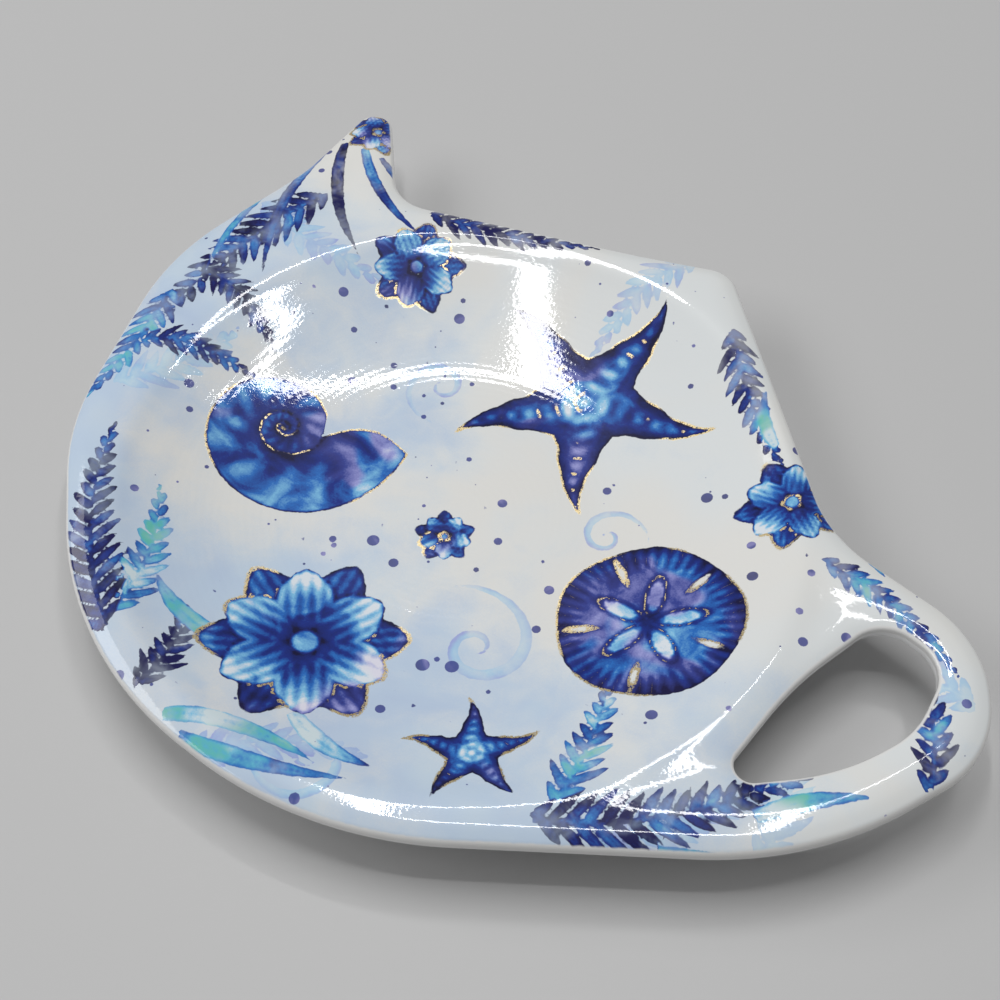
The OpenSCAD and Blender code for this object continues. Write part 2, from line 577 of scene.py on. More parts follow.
    def height(self, points: np.ndarray, face: Face) -> np.ndarray:
        """Heights above the table.

        Args:
            points: Array of pairs.
            face: Which face of the dish.

        Returns:
            Heights, with the face's edges rounded over.
        """
        s = self.sizes
        rim, ring = self.outline.depth(points), self.hole.depth(points)
        depth = np.minimum(rim, ring)
        radii = (s.hole_top_edge_radius, s.top_edge_radius)
        if face is Face.LOWER:
            radii = (s.hole_low_edge_radius, s.low_edge_radius)
        radius = np.where(ring < rim, *radii)
        turn = np.clip(radius - depth, 0, radius)
        rounding = radius - np.sqrt(radius**2 - turn**2)
        if face is Face.LOWER:
            return s.height + self._sample(self.soft_lower, points) + rounding
        sharp = self.sharp_upper(points)
        share = smooth((depth - self.firm) / self.fade)
        return s.height + sharp + share * (self._sample(self.soft_upper, points) - sharp) - rounding


@dataclass(frozen=True)
class Figure:
    """A painted figure on the plan, in millimetres and degrees from the middle of the dish."""

    x: float
    y: float
    size: float
    turn: float = 0.0

    def local(self, points: np.ndarray) -> tuple:
        """Places of points along the figure's own directions.

        Args:
            points: Array of pairs.

        Returns:
            Coordinates across and up from the figure's middle, as shares of its size.
        """
        angle = math.radians(self.turn)
        away = (points - (self.x, self.y)) / self.size
        across = away[:, 0] * math.cos(angle) + away[:, 1] * math.sin(angle)
        up = away[:, 1] * math.cos(angle) - away[:, 0] * math.sin(angle)
        return across, up

    def polar(self, points: np.ndarray) -> tuple:
        """Distances of points from the figure's middle, as shares of its size, and their angles."""
        across, up = self.local(points)
        return np.maximum(np.hypot(across, up), LEAST_REACH), np.arctan2(up, across)

    def paint(self, points: np.ndarray) -> tuple:
        """Paints the figure.

        Args:
            points: Array of pairs.

        Returns:
            Depth inside the figure in millimetres, darkness from 0 to 1, and strokes from -1 to 1.
        """
        raise NotImplementedError


@dataclass(frozen=True)
class Starfish(Figure):
    """A starfish with tapered arms that bend a little."""

    arms: int = 5
    body: float = 0.31
    tip: float = 0.045
    bend: float = 0.28
    bend_rate: float = 2.4
    knobs: float = 7.0
    knobs_end: float = 0.9
    waves: float = 26.0
    wave: float = 0.05
    blunt: float = 0.8
    ridge: float = 0.45
    ridge_fade: float = 0.3
    furrow: float = 0.62
    furrow_width: float = 0.12
    furrow_shade: float = 0.5
    heart: float = 0.2
    heart_light: float = 0.3
    tint: float = 0.42
    edge_shade: float = 0.5
    tip_shade: float = 0.25
    least: float = 1e-6

    def paint(self, points: np.ndarray) -> tuple:
        """Paints dark edges, a pale ridge and a row of knobs along each arm.

        Args:
            points: Array of pairs.

        Returns:
            Depth, darkness and strokes.
        """
        reach, angle = self.polar(points)
        side = sector(angle + self.bend * np.sin(self.bend_rate * reach), self.arms)
        along, off = reach * np.cos(side), np.abs(reach * np.sin(side))
        left = np.clip(1 - along, self.least, 1)
        half = (self.body - self.tip) * left**1.2 + self.tip * left**0.5
        half *= 1 + self.wave * np.sin(along * self.waves)
        depth = np.minimum(half - off, (1 - along) * self.blunt)
        share = np.clip(off / half, 0, 1)
        tone = self.tint + self.edge_shade * share**1.6 + self.tip_shade * along**2
        tone = tone - self.heart_light * np.exp(-((reach / self.heart) ** 2))
        knobs = np.cos(math.tau * self.knobs * along) * smooth((self.ridge - share) / self.ridge_fade)
        furrow = near(share - self.furrow, self.furrow_width)
        strokes = np.where(along < self.knobs_end, knobs, 0) - self.furrow_shade * furrow
        return depth * self.size, np.clip(tone, 0, 1), strokes


@dataclass(frozen=True)
class CoiledShell(Figure):
    """A flat coiled sea shell with growth stripes.

    The tints and shades are shares of the darkest tone. seam and seam_gap, the widths of the line
    between two coils and of the bare strip beside it, are in millimetres.
    """

    growth: float = 0.185
    stripes: float = 12.0
    stripe_strength: float = 0.65
    lean: float = 7.8
    lip: float = 0.3
    lip_start: float = 0.25
    lip_band: float = 0.2
    lip_sweep: float = 0.16
    lip_length: float = 0.7
    seam: float = 0.5
    seam_gap: float = 0.8
    seam_shade: float = 1.2
    bare: float = 0.25
    bare_fade: float = 0.3
    tint: float = 0.3
    inner_shade: float = 0.62
    outer_shade: float = 0.12
    core_shade: float = 0.15

    def _edge(
        self, across: np.ndarray, up: np.ndarray, reach: np.ndarray, angle: np.ndarray
    ) -> np.ndarray:
        """Depth inside the coil, which ends in a curved lip.

        Args:
            across: Coordinates across from the middle.
            up: Coordinates up from the middle.
            reach: Distances from the middle.
            angle: Angles round the middle.

        Returns:
            Depths, as shares of the shell's size.
        """
        sweep = np.sin(np.clip(-across - self.lip, 0, self.lip_length) / self.lip_length * math.pi)
        depth = np.exp(self.growth * (angle - math.pi)) - reach
        below = (across < -self.lip) & (up <= 0) & (up > -self.lip_band)
        at_lip = (across < -self.lip) & (np.abs(up) < self.lip_band)
        at_lip = at_lip | (across < -self.lip_start) & (up > -self.lip) & (angle > 0)
        depth = np.where(below, 1 - reach, depth)
        return np.where(at_lip, np.minimum(depth, up + self.lip_sweep * sweep), depth)

    def paint(self, points: np.ndarray) -> tuple:
        """Paints one coil inside the next, darkest where they meet.

        Args:
            points: Array of pairs.

        Returns:
            Depth, darkness and strokes.
        """
        reach, angle = self.polar(points)
        depth = self._edge(*self.local(points), reach, angle)
        turns = (np.log(reach) / self.growth - angle + math.pi) / math.tau
        coil = np.floor(turns)
        share = turns - coil
        seam = np.minimum(share, 1 - share) * reach * math.tau * self.growth * self.size
        tone = self.tint + self.inner_shade * (1 - share) ** 1.5 + self.outer_shade * share**6
        tone = tone + self.core_shade * (coil < -1)
        strokes = self.stripe_strength * np.sin(self.stripes * (angle + math.tau * coil) + self.lean * share)
        strokes = strokes * smooth((share - self.bare) / self.bare_fade) * smooth(seam / self.seam_gap)
        strokes = strokes - self.seam_shade * near(seam, self.seam)
        return depth * self.size, np.clip(tone, 0, 1), strokes


@dataclass(frozen=True)
class Blossom(Figure):
    """An open flower with two rows of petals.

    A petal is its length and half width, and its tones are that at the heart and the change to
    its tip. line, the width of the line round the front row, is in millimetres.
    """

    petals: int = 6
    veins: float = 5.0
    heart: float = 0.16
    front_petal: tuple = (0.86, 0.31)
    back_petal: tuple = (1.0, 0.3)
    widest: float = 0.57
    pointed: float = 0.1
    slope: float = 0.85
    front_tones: tuple = (0.9, -0.95)
    back_tones: tuple = (0.98, -0.55)
    heart_tones: tuple = (0.25, 0.5)
    rim: float = 0.05
    rim_shade: float = 0.25
    vein_strength: float = 0.7
    vein_start: float = 0.22
    vein_fade: float = 0.1
    line: float = 0.35
    line_shade: float = 1.3

    def _row(self, reach: np.ndarray, angle: np.ndarray, length: float, width: float) -> tuple:
        """One row of petals.

        Args:
            reach: Distances from the middle.
            angle: Angles from a petal of the row.
            length: Where the petals end.
            width: Half their width.

        Returns:
            Depth inside the row, and places along and across a petal.
        """
        side = sector(angle, self.petals)
        along, off = reach * np.cos(side), reach * np.sin(side)
        middle = self.widest * length
        bulge = 1 - self.pointed * np.cos(np.clip(off / width, -1, 1) * math.pi) * (along > middle)
        ring = np.sqrt(((along - middle) / (length - middle) * bulge) ** 2 + (off / width) ** 2)
        return (1 - ring) * width * self.slope, along / length, off / width

    def paint(self, points: np.ndarray) -> tuple:
        """Paints the front row over the back row, dark at the heart and between petals.

        Args:
            points: Array of pairs.

        Returns:
            Depth, darkness and strokes.
        """
        reach, angle = self.polar(points)
        front, along, off = self._row(reach, angle, *self.front_petal)
        back, along_back, off_back = self._row(reach, angle + math.pi / self.petals, *self.back_petal)
        core = self.heart - reach
        in_front = front > 0
        (at_heart, rise), (at_back, back_rise), (at_core, core_rise) = (
            self.front_tones, self.back_tones, self.heart_tones
        )
        tone = np.where(in_front, at_heart + rise * along, at_back + back_rise * along_back)
        tone = tone + self.rim_shade * smooth(1 - np.where(in_front, front, back) / self.rim)
        tone = np.where(core > 0, at_core + core_rise * smooth(1 - core / self.rim), tone)
        fan = np.where(in_front, off, off_back)
        strokes = self.vein_strength * np.cos(math.pi * self.veins * fan)
        strokes = strokes * smooth((reach - self.vein_start) / self.vein_fade)
        strokes = strokes - self.line_shade * near(front * self.size, self.line) * (back > -0.03)
        strokes = np.where(core > 0, 0, strokes)
        depth = np.maximum(np.maximum(front, back), core)
        return depth * self.size, np.clip(tone, 0, 1), strokes


@dataclass(frozen=True)
class SandDollar(Figure):
    """A round flat sea urchin with a petal mark and slots.

    petal and slot are ovals: their place, half length and half width. The line round the petal
    mark is in millimetres.
    """

    rays: int = 5
    ribs: int = 44
    petal: tuple = (0.35, 0.27, 0.105)
    slot: tuple = (0.73, 0.13, 0.035)
    lobe: float = 0.018
    tint: float = 0.3
    rim_shade: float = 0.55
    petal_edge: float = 0.05
    petal_edge_shade: float = 0.25
    petal_inset: float = 0.03
    petal_tint: float = 0.12
    heart: float = 0.1
    heart_shade: float = 0.3
    rib_strength: float = 0.8
    rib_start: float = 0.66
    rib_fade: float = 0.12
    line: float = 0.3
    line_shade: float = 1.1

    def _ovals(self, reach: np.ndarray, angle: np.ndarray, oval: tuple) -> np.ndarray:
        """Depth inside ovals that repeat round the middle.

        Args:
            reach: Distances from the middle.
            angle: Angles from one of the ovals.
            oval: Their place, half length and half width.

        Returns:
            Depths, as shares of the figure's size.
        """
        place, half_length, half_width = oval
        side = sector(angle, self.rays)
        off = np.hypot((reach * np.cos(side) - place) / half_length, reach * np.sin(side) / half_width)
        return (1 - off) * half_width

    def paint(self, points: np.ndarray) -> tuple:
        """Paints a dark rim with fine ribs, a pale petal mark and open slots.

        Args:
            points: Array of pairs.

        Returns:
            Depth, darkness and strokes.
        """
        reach, angle = self.polar(points)
        petal = self._ovals(reach, angle, self.petal)
        slot = self._ovals(reach, angle + math.pi / self.rays, self.slot)
        depth = np.minimum(1 + self.lobe * np.cos(self.rays * angle) - reach, -slot)
        tone = self.tint + self.rim_shade * reach**3
        tone = tone + self.petal_edge_shade * near(petal, self.petal_edge)
        tone = np.where(petal > self.petal_inset, self.petal_tint, tone)
        tone = tone + self.heart_shade * near(reach, self.heart)
        strokes = self.rib_strength * np.cos(self.ribs * angle)
        strokes = strokes * smooth((reach - self.rib_start) / self.rib_fade)
        strokes = strokes - self.line_shade * near(petal * self.size, self.line)
        return depth * self.size, np.clip(tone, 0, 1), strokes


@dataclass(frozen=True)
class Curl(Figure):
    """A tapered ribbon that winds inwards; size is the distance of its open end from its middle.

    hand is 1 or -1, the way in which it winds. Its fine line's half width is in millimetres.
    """

    turns: float = 1.5
    growth: float = 0.24
    ribbon: float = 0.12
    tint: float = 0.25
    hand: int = 1
    inner_shade: float = 0.5
    side_shade: float = 0.25
    line: float = 0.3
    line_place: float = 0.4
    line_shade: float = 0.7

    def paint(self, points: np.ndarray) -> tuple:
        """Paints the ribbon, darker towards its middle, with a fine line along it.

        Args:
            points: Array of pairs.

        Returns:
            Depth, darkness and strokes.
        """
        reach, angle = self.polar(points)
        angle = angle * self.hand
        wound = angle + math.tau * np.round((np.log(reach) / self.growth - angle) / math.tau)
        off = reach - np.exp(self.growth * wound)
        share = -wound / (math.tau * self.turns)
        on_ribbon = (share > 0) & (share < 1)
        share = np.clip(share, 0, 1)
        half = self.ribbon * (1 - share) ** 0.8 * np.clip(4 * share, 0, 1) ** 0.7
        depth = np.where(on_ribbon, half, -0.02) - np.abs(off)
        tone = self.tint + self.inner_shade * share
        tone = tone + self.side_shade * np.clip(off / np.maximum(half, 0.01), -1, 1)
        strokes = -self.line_shade * near((off - self.line_place * half) * self.size, self.line)
        return depth * self.size, np.clip(tone, 0, 1), strokes


@dataclass(frozen=True)
class Stem(Figure):
    """A curved stem that starts at its place and heads along its turn; size is its length.

    half_width and line, half the width of its fine line, are in millimetres.
    """

    curl: float = 40.0
    half_width: float = 0.35
    tint: float = 0.6
    _: KW_ONLY
    line: float = 0.25
    line_shade: float = 0.8
    tip_shade: float = 0.3

    def along(self, points: np.ndarray) -> tuple:
        """Places of points beside the stem.

        Args:
            points: Array of pairs.

        Returns:
            Lengths along the stem and distances off it, in millimetres.
        """
        across, up = (part * self.size for part in self.local(points))
        radius = self.size / math.radians(self.curl)
        hand = math.copysign(1, radius)
        run = np.arctan2(across * hand, (radius - up) * hand) * radius
        return run, radius - np.hypot(across, radius - up) * hand

    def within(self, run: np.ndarray, inside: np.ndarray, outside: np.ndarray | float) -> np.ndarray:
        """Takes one value along the stem's length and another beyond its ends."""
        return np.where((run > 0) & (run < self.size), inside, outside)

    def paint(self, points: np.ndarray) -> tuple:
        """Paints one brush stroke, widest at its middle.

        Args:
            points: Array of pairs.

        Returns:
            Depth, darkness and strokes.
        """
        run, off = self.along(points)
        share = np.clip(run / self.size, 0, 1)
        half = self.half_width * np.sin(math.pi * (0.12 + 0.88 * share) ** 0.8) ** 0.8
        depth = self.within(run, half, -self.half_width) - np.abs(off)
        tone = np.clip(self.tint + self.tip_shade * (share - 0.5), 0, 1)
        return depth, tone, -self.line_shade * near(off, self.line)


@dataclass(frozen=True)
class Frond(Stem):
    """A fern frond: a stem with slanted leaflets on both sides.

    leaflet, the longest leaflet's length, and pitch, the way from one to the next, are in
    millimetres.
    """

    leaflet: float = 6.0
    pitch: float = 2.5
    slant: float = 0.85
    _: KW_ONLY
    fullness: float = 0.98
    unevenness: float = 0.1
    variety: float = 0.22
    leaf_slope: float = 0.75
    line_shade: float = 0.7
    tip_shade: float = 0.2
    shortest: float = 0.01
    beyond: float = -2.0

    def paint(self, points: np.ndarray) -> tuple:
        """Paints the stem and its leaflets, which shorten towards the tip.

        Args:
            points: Array of pairs.

        Returns:
            Depth, darkness and strokes.
        """
        run, off = self.along(points)
        away = np.abs(off)
        lean = away * self.slant * (0.8 + 0.4 * np.clip(away / self.leaflet, 0, 1))
        start = run - lean + (off > 0) * self.pitch / 2
        number = np.floor(start / self.pitch)
        share = np.clip((number + 0.5) * self.pitch / self.size, 0, 1)
        length = self.leaflet * (1 - share) ** 0.65 * np.clip(0.45 + 4 * share, 0, 1)
        length = length * (1 - self.unevenness + self.unevenness * np.sin(number * 2.3))
        length = np.maximum(length, self.shortest)
        place = np.clip(away / length, 0, 1)
        half = self.fullness * self.pitch * (0.03 + place) ** 0.5 * (1 - place) ** 0.75
        offset = np.abs((start / self.pitch - number - 0.5) * self.pitch)
        leaf = (np.where(away < length, half, length - away) - offset) * self.leaf_slope
        leaf = self.within(start, leaf, self.beyond)
        stem = self.within(run, self.half_width * (1.1 - run / self.size) - away, self.beyond)
        tone = self.tint + self.variety * np.sin(number * 1.7) + self.tip_shade * (place - 0.5)
        strokes = -self.line_shade * near(offset, self.line) * (leaf > 0)
        return np.maximum(leaf, stem), np.clip(tone, 0, 1), strokes


@dataclass
class PrintLayout:
    """Where the printed figures, plants and splashes lie on the dish, one layer over another.

    All lengths are in millimetres. Each mark's numbers are its place across and up, its size and
    its turn, and then what its own class adds. The drops of a burst lie from first to first +
    further times a figure's size from its middle, and no splash touches a figure or plant.
    """

    seed: int = 11
    splashes: int = 170
    bursts: int = 130
    smallest: float = 0.22
    largest: float = 1.15
    first: float = 1.05
    further: float = 0.75
    clear: float = 0.7
    gap: float = -0.15
    figures: tuple = (
        Starfish(-5, 28, 23, 27),
        CoiledShell(-42, -8, 21.5, 205),
        Blossom(-11, -37, 15.5, 12),
        SandDollar(29, -2, 14.5, 40),
        Starfish(22, -37, 10.5, 70),
        Blossom(36, 27, 8.5, 40, 5),
        Blossom(-45, 31, 8.5, 5, 5),
        Blossom(-7, -8, 5, 20, 5),
        Blossom(-72, 52, 6, 0, 5),
    )
    plants: tuple = (
        Frond(-34, -54, 27, 104, 34, 0.45, 0.15, 5),
        Frond(-33, -56, 40, 152, -36, 0.5, 0.75, 6.5),
        Frond(-69, 33, 46, -104, 26, 0.55, 0.7, 6.5, 2.7),
        Frond(-74, -2, 27, -68, -20, 0.45, 0.3, 5),
        Frond(37, -37, 25, 97, 20, 0.5, 0.3, 5),
        Frond(36, -41, 46, 30, 44, 0.55, 0.7, 6.5),
        Frond(-50, 41, 32, 14, 18, 0.5, 0.8, 4.5),
        Frond(9, 51, 30, -48, 16, 0.5, 0.65, 4.5),
        Frond(46, 20, 27, 6, -34, 0.4, 0.4, 3.6, 2.1),
        Frond(77, -3, 24, 108, 40, 0.45, 0.6, 4.2),
        Frond(-74, 6, 22, 4, -30, 0.45, 0.85, 4.6, 2.2),
        Frond(-69, -12, 20, 40, -34, 0.4, 0.6, 4, 2),
        Frond(-22, -60, 17, 92, 40, 0.4, 0.9, 4.4, 2.1),
        Stem(-75, 46, 30, -64, 40, 1.2, 0.85),
        Stem(-71, 47, 26, -44, 36, 1.1, 0.45),
        Stem(-67, 47, 19, -22, 30, 0.9, 0.65),
        Stem(-77, 42, 34, -84, 34, 1.1, 0.55),
        Stem(-79, 34, 30, -88, 22, 0.9, 0.2),
        Stem(-20, -45, 16, 200, -50, 1.6, 0.05),
        Stem(-3, -48, 16, -22, 44, 1.6, 0.12),
        Stem(45, 32, 13, -60, 40, 1.2, 0.1),
        Stem(28, 35, 12, 150, -40, 1.1, 0.15),
        Stem(52, -34, 22, 22, 30, 1.3, 0.25),
        Stem(60, -22, 17, 60, -24, 1.5, 0.15),
        Stem(-16, -61, 24, 40, -40, 1.5, 0.05),
        Stem(-12, -62, 26, 12, 22, 1.4, 0.3),
    )
    shadows: tuple = (
        Curl(10, -21, 12, 150, 1.6),
        Curl(14, 8, 7, 20, 1.5, hand=-1),
        Curl(-27, 16, 8, 300, 1.5),
        Curl(5, -53, 9, 200, 1.5, hand=-1),
        Frond(-76, 24, 30, -12, 30, 0.5, 0.5, 6, 3),
        Frond(-66, -22, 24, 60, 30, 0.5, 0.3, 5.5, 2.8),
        Frond(-8, -63, 26, 60, -40, 0.5, 0.6, 5.5, 2.8),
        Frond(47, -40, 26, 74, -30, 0.5, 0.5, 6, 2.8),
        Frond(64, -26, 24, 96, 30, 0.5, 0.2, 5, 2.6),
        Frond(-6, 61, 26, -112, 30, 0.5, 0.4, 5, 2.6),
        Frond(76, 12, 20, 170, 40, 0.5, 0.3, 5, 2.6),
    )

    def _topmost(self, marks: tuple, points: np.ndarray) -> tuple:
        """Paints the last mark that covers a point, or else the nearest one.

        Args:
            marks: The figures of one layer, the lowest first.
            points: Array of pairs.

        Returns:
            Depth, darkness and strokes.
        """
        top = marks[0].paint(points)
        for mark in marks[1:]:
            values = mark.paint(points)
            over = (values[0] > self.gap) | (values[0] > top[0])
            top = [np.where(over, new, old) for new, old in zip(values, top)]
        return tuple(top)

    def _drops(self, low: np.ndarray, high: np.ndarray) -> np.ndarray:
        """Draws the splashes: some all over the plan, the others in bursts round the figures.

        Args:
            low: Lowest corner of the plan.
            high: Highest corner of the plan.

        Returns:
            Their places, as an array of pairs.
        """
        chance = np.random.default_rng(self.seed)
        loose = low + chance.random((self.splashes, 2)) * (high - low)
        bursts = []
        for _ in range(self.bursts):
            figure = self.figures[chance.integers(len(self.figures))]
            reach = figure.size * (self.first + self.further * chance.random() ** 2)
            angle = math.tau * chance.random()
            bursts.append((figure.x + reach * math.cos(angle), figure.y + reach * math.sin(angle)))
        return np.concatenate([loose, bursts])

    def _splash(self, points: np.ndarray, taken: np.ndarray, places: np.ndarray) -> np.ndarray:
        """Depth inside the splashes.

        Args:
            points: Array of pairs.
            taken: Depth of each splash's place inside the figures and plants.
            places: Where the splashes may lie.

        Returns:
            Depths.
        """
        chance = np.random.default_rng(self.seed + 1)
        radii = self.smallest + (self.largest - self.smallest) * chance.random(len(places)) ** 3
        depth = np.full(len(points), -self.largest)
        drops = []
        for place, radius, room in zip(places, radii, taken):
            apart = [np.linalg.norm(place - other) > radius + size for other, size in drops]
            if room < -radius - self.clear and all(apart):
                drops.append((place, radius))
                depth = np.maximum(depth, radius - np.linalg.norm(points - place, axis=1))
        return depth

    def fields(self, points: np.ndarray, low: np.ndarray, high: np.ndarray) -> dict:
        """Values that the print's finish is drawn from.

        Args:
            points: Array of pairs.
            low: Lowest corner of the plan.
            high: Highest corner of the plan.

        Returns:
            Names of the values and the values: depths, darkness from 0 to 1, strokes from -1 to 1.
        """
        values = {}
        for name, marks in (("shadow", self.shadows), ("leaf", self.plants), ("ink", self.figures)):
            depth, tone, strokes = self._topmost(marks, points)
            values |= {name: depth, f"{name}_tone": tone, f"{name}_strokes": strokes}
        places = self._drops(low, high)
        taken = np.maximum(*(self._topmost(marks, places)[0] for marks in (self.figures, self.plants)))
        values["splash"] = self._splash(points, taken, places)
        return values


@dataclass
class DishShell:
    """A closed solid between two faces of the dish, lofted round its edges and filled between.

    The insets, in millimetres, are those of the rings that round each face's edges, and the grids
    are the spacing of the points between them. An edge bent by more than crease stays sharp.
    """

    surface: DishSurface
    name: str
    upper_grid: float
    lower_grid: float
    upper_insets: tuple
    lower_insets: tuple
    weld: float = 0.001 * MM
    crease: float = math.radians(50)
    inside_with_holes: int = 2

    def upper(self, points: np.ndarray) -> np.ndarray:
        """Heights of the upper face."""
        raise NotImplementedError

    def lower(self, points: np.ndarray) -> np.ndarray:
        """Heights of the lower face."""
        raise NotImplementedError

    def _loft(self, bm: bmesh.types.BMesh, line: PlanLine, profile: list) -> tuple:
        """Sweeps an edge profile round a plan line.

        Args:
            bm: Mesh that takes the faces.
            line: The line that the profile follows.
            profile: Pairs of inset and a function that gives heights for points.

        Returns:
            Edges of the first and of the last ring.
        """
        places, inward = line.stations()
        number = bm.verts.layers.int.get("number") or bm.verts.layers.int.new("number")
        made = bmesh.ops.create_circle(bm, segments=len(places), radius=1.0)["verts"]
        for k, vert in enumerate(made):
            vert[number] = k
        first = edges = list(dict.fromkeys(e for v in made for e in v.link_edges))
        for ring, (inset, heights) in enumerate(profile):
            if ring:
                made = bmesh.ops.extrude_edge_only(bm, edges=edges)["geom"]
                edges = [g for g in made if isinstance(g, bmesh.types.BMEdge) and len(g.link_faces) == 1]
            points = places + inward * inset
            levels = heights(points)
            for vert in {v for e in edges for v in e.verts}:
                k = vert[number]
                vert.co = (*points[k], levels[k])
        return first, edges

    def _infill(
        self, bm: bmesh.types.BMesh, rims: tuple, step: float, inset: float, heights: Heights
    ) -> None:
        """Fills a face of the dish with even triangles between the lofted rings.

        Args:
            bm: Mesh that takes the faces.
            rims: Edges of the ring at the outline and of that at the finger hole.
            step: Spacing of the points.
            inset: Distance of the rings from the edges of the dish.
            heights: Function that gives heights for points.
        """
        half = self.surface.sizes.half_plan + step
        xs = np.arange(-half[0], half[0], step)
        ys = np.arange(-half[1], half[1], step * math.sqrt(3) / 2)
        gx, gy = np.meshgrid(xs, ys)
        gx[::2] += step / 2
        lattice = np.c_[gx.ravel(), gy.ravel()]
        lattice = lattice[self.surface.depth(lattice) > inset + step / 2]
        verts = list(dict.fromkeys(v for ring in rims for e in ring for v in e.verts))
        number = {v: k for k, v in enumerate(verts)}
        edges = [(number[e.verts[0]], number[e.verts[1]]) for ring in rims for e in ring]
        flat = [v.co.xy for v in verts] + [Vector(p) for p in lattice]
        _, _, faces, origins, _, _ = delaunay_2d_cdt(flat, edges, [], self.inside_with_holes, self.weld)
        verts += [bm.verts.new((*p, z)) for p, z in zip(lattice, heights(lattice))]
        round_hole = {v for e in rims[1] for v in e.verts}
        for face in faces:
            corners = [verts[origins[k][0]] for k in face]
            if not round_hole.issuperset(corners):
                bm.faces.new(corners)

    def build(self) -> bmesh.types.BMesh:
        """Makes the closed solid.

        Returns:
            The mesh.
        """
        bm = bmesh.new()
        profile = [(inset * MM, self.upper) for inset in self.upper_insets]
        profile += [(inset * MM, self.lower) for inset in self.lower_insets]
        lines = (self.surface.outline, self.surface.hole)
        tops, undersides = zip(*(self._loft(bm, line, profile) for line in lines))
        self._infill(bm, tops, self.upper_grid, *profile[0])
        self._infill(bm, undersides, self.lower_grid, *profile[-1])
        bmesh.ops.recalc_face_normals(bm, faces=bm.faces)
        return bm

    def marks(self, points: np.ndarray) -> dict:
        """Values that the finish reads: how far points lie from the edge, in millimetres."""
        return {"inset": self.surface.depth(points) / MM}

    def make(self) -> bpy.types.Object:
        """Builds the piece and stores the marks at its points.

        Returns:
            The piece.
        """
        bm = self.build()
        points = np.array([v.co.xy for v in bm.verts])
        for name, values in self.marks(points).items():
            layer = bm.verts.layers.float.new(name)
            for vert, value in zip(bm.verts, values):
                vert[layer] = value
        for edge in bm.edges:
            edge.smooth = edge.calc_face_angle() < self.crease
        return as_piece(self.name, bm)


@dataclass
class PrintedTop(DishShell):
    """The printed foil under its clear gloss, which covers the well, the flange and the crowns."""

    name: str = "printed_top"
    upper_grid: float = 0.5 * MM
    lower_grid: float = 1.2 * MM
    upper_insets: tuple = (1.6, 1.2, 0.95, 0.75, 0.55, 0.36, 0.2, 0.09, 0.02, 0.0)
    lower_insets: tuple = (0.0, 0.5, 1.6)
    layout: PrintLayout = field(default_factory=PrintLayout)

    def upper(self, points: np.ndarray) -> np.ndarray:
        """Heights of the top that shows."""
        return self.surface.height(points, Face.UPPER)

    def lower(self, points: np.ndarray) -> np.ndarray:
        """Heights of the face that lies on the body."""
        return self.upper(points) - self.surface.sizes.print_depth

    def marks(self, points: np.ndarray) -> dict:
        """Values that the print's finish reads."""
        half = self.surface.sizes.half_plan / MM
        return super().marks(points) | self.layout.fields(points / MM, -half, half)


@dataclass
class MouldedBody(DishShell):
    """The white body, with its rounded lower edge; seam is the gap between it and the print."""

    name: str = "moulded_body"
    upper_grid: float = 1.2 * MM
    lower_grid: float = 0.8 * MM
    upper_insets: tuple = (1.6, 0.5, 0.0)
    lower_insets: tuple = (0.0, 0.02, 0.08, 0.17, 0.3, 0.5, 0.9, 1.6)
    seam: float = 0.02 * MM

    def upper(self, points: np.ndarray) -> np.ndarray:
        """Heights of the face under the print."""
        lift = self.surface.sizes.print_depth + self.seam
        return self.surface.height(points, Face.UPPER) - lift

    def lower(self, points: np.ndarray) -> np.ndarray:
        """Heights of the underside."""
        return self.surface.height(points, Face.LOWER)


@dataclass
class FootRing:
    """The ring under the bowl, on which the dish stands; its top reaches into the body."""

    sizes: DishSizes
    top: float = 4.8 * MM
    flare_start: float = 2.6 * MM
    flare: float = 0.9 * MM
    flare_rate: float = 2.5
    edge: float = 0.45 * MM
    corner_steps: int = 5
    flare_steps: int = 6
    segments: int = 256
    weld: float = 0.001 * MM

    def _wall(self, radius: float, way: int) -> list:
        """Section of one side of the ring, from the table up.

        Args:
            radius: Where the side would meet the table.
            way: 1 for the outer side and -1 for the inner one.

        Returns:
            Points, as distances from the ring's axis and heights.
        """
        points = []
        for k in range(self.corner_steps + 1):
            angle = math.pi / 2 * k / self.corner_steps
            inwards, lift = self.edge * (1 - math.sin(angle)), self.edge * (1 - math.cos(angle))
            points.append((radius - way * inwards, lift))
        for k in range(self.flare_steps + 1):
            share = k / self.flare_steps
            height = self.flare_start + share * (self.top - self.flare_start)
            outwards = self.sizes.foot_draft * height / self.top + self.flare * share**self.flare_rate
            points.append((radius + way * outwards, height))
        return points

    def make(self) -> bpy.types.Object:
        """Spins the section into the ring.

        Returns:
            The piece.
        """
        bm = bmesh.new()
        inner_radius = self.sizes.foot_radius - self.sizes.foot_width
        section = self._wall(self.sizes.foot_radius, 1) + self._wall(inner_radius, -1)[::-1]
        verts = [bm.verts.new((reach, 0, height)) for reach, height in section]
        edges = [bm.edges.new(pair) for pair in zip(verts, verts[1:] + verts[:1])]
        bmesh.ops.spin(
            bm, geom=verts + edges, cent=(0, 0, 0), axis=(0, 0, 1), angle=math.tau,
            steps=self.segments, use_merge=True,
        )
        bmesh.ops.remove_doubles(bm, verts=bm.verts, dist=self.weld)
        bmesh.ops.translate(bm, verts=bm.verts, vec=(*self.sizes.well_centre, 0))
        bmesh.ops.recalc_face_normals(bm, faces=bm.faces)
        return as_piece("foot_ring", bm)


